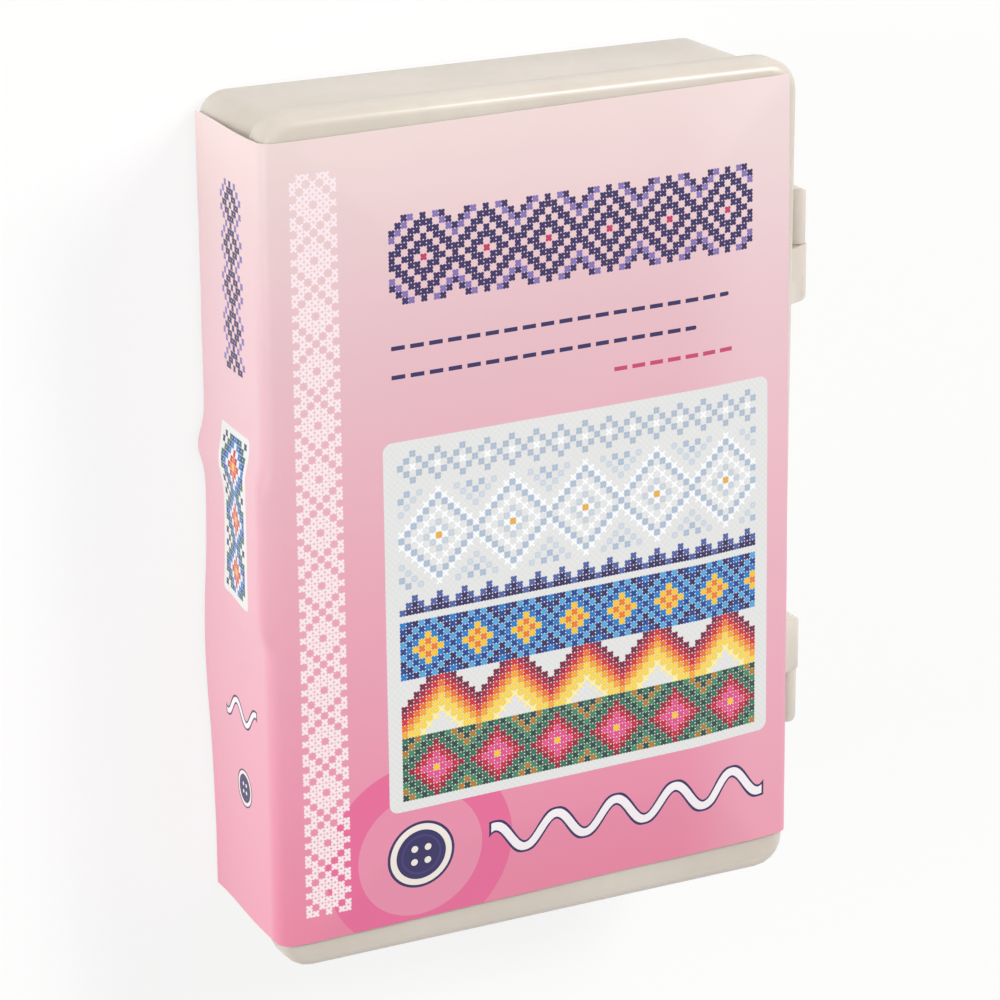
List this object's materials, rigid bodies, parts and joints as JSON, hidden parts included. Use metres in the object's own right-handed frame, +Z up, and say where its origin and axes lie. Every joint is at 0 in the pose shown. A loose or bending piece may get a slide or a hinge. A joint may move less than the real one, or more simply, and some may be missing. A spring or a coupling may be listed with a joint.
{
  "type": "embroidery thread box",
  "caption": "Flat divided craft box in frosted plastic with a shallow hinged lid, a printed paper label folded over the lid and latch side, and card thread bobbins inside.",
  "frame": {"origin": "centre of the flat underside of the tray, on the surface that the box lies on", "axes": "+X along the box's length, the short end at -X being the upper end in the picture; -Y is the latch side, +Y the hinge side; +Z up, out of the lid"},
  "size_m": [0.18, 0.1279, 0.0406],
  "materials": {
    "frosted_plastic": "frosted natural polypropylene",
    "printed_paper": "satin coated",
    "white_card": "matt"
  },
  "bodies": {
    "tray_body": {"base_tray": "frosted_plastic", "bobbin_01": "white_card", "bobbin_02": "white_card", "bobbin_03": "white_card", "bobbin_04": "white_card", "bobbin_05": "white_card", "bobbin_06": "white_card", "bobbin_07": "white_card", "bobbin_08": "white_card", "bobbin_09": "white_card", "bobbin_10": "white_card", "bobbin_11": "white_card", "bobbin_12": "white_card", "bobbin_13": "white_card", "bobbin_14": "white_card", "bobbin_15": "white_card", "bobbin_16": "white_card", "bobbin_17": "white_card", "bobbin_18": "white_card", "bobbin_19": "white_card", "bobbin_20": "white_card", "bobbin_21": "white_card", "bobbin_22": "white_card", "bobbin_23": "white_card", "bobbin_24": "white_card", "bobbin_25": "white_card"},
    "lid_body": {"lid": "frosted_plastic", "label": "printed_paper"}
  },
  "joints": [
    {"name": "lid_hinge", "type": "hinge", "parent": "tray_body", "child": "lid_body", "pos_m": [0, 0.0636, 0.0311], "axis": [-1, 0, 0], "range_deg": [0, 110]}
  ]
}
